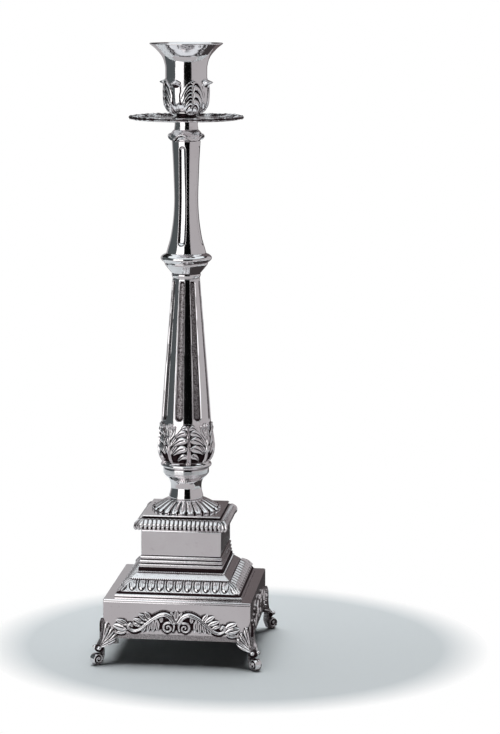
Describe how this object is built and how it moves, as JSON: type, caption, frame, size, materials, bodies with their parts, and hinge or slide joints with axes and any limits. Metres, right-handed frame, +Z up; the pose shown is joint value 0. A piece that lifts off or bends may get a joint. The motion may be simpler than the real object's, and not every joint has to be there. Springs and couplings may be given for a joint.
{
  "type": "candlestick",
  "caption": "Tall silver candlestick with a square footed base, a fluted tapering column, a loose drip pan and a flared cup that screws off.",
  "frame": {"origin": "on the table, under the column's axis", "axes": "+Z up along the column; -Y is the front face of the square base, +X its right"},
  "size_m": [0.1084, 0.1084, 0.38],
  "materials": {
    "polished_silver": "hand-polished silver plate with soft marks, darkened in its grooves",
    "cast_silver": "cast and chased silver plate, bright on its high parts and blackened in its recesses",
    "brass": "turned brass, dull",
    "hardware_steel": "plain threaded steel",
    "plate_steel": "sheet steel, dull",
    "iron_weight": "rough cast"
  },
  "bodies": {
    "stick": {"base_block": "polished_silver", "base_plate": "plate_steel", "ballast": "iron_weight", "foot_front_right": "cast_silver", "foot_back_right": "cast_silver", "foot_back_left": "cast_silver", "foot_front_left": "cast_silver", "foot_screws": "hardware_steel", "frieze_front": "cast_silver", "frieze_right": "cast_silver", "frieze_back": "cast_silver", "frieze_left": "cast_silver", "skirt": "polished_silver", "reeded_plinth": "polished_silver", "die": "polished_silver", "gadroon_cap": "polished_silver", "seat_plate": "polished_silver", "ribbed_dish": "polished_silver", "neck": "polished_silver", "ring_band": "polished_silver", "acanthus_bulb": "cast_silver", "fluted_shaft": "polished_silver", "bell_capital": "polished_silver", "knop_ring": "polished_silver", "upper_shaft": "polished_silver", "lobed_collar": "polished_silver", "top_bush": "polished_silver", "tie_rod": "hardware_steel", "rod_washer": "hardware_steel", "rod_nut": "hardware_steel"},
    "pan": {"drip_pan": "polished_silver"},
    "cup": {"candle_cup": "polished_silver", "leaf_calyx": "cast_silver", "cup_pedestal": "polished_silver", "cup_stud": "brass"}
  },
  "joints": [
    {"name": "pan_lift", "type": "slide", "parent": "stick", "child": "pan", "axis": [0, 0, 1], "range_m": [0, 0.015]},
    {"name": "cup_unscrew", "type": "hinge", "parent": "pan", "child": "cup", "pos_m": [0, 0, 0.334], "axis": [0, 0, 1], "range_deg": [0, 5400]}
  ],
  "couplings": [
    {"joint": "cup_unscrew", "follows": "pan_lift", "rad_per_m": 6283.2}
  ]
}
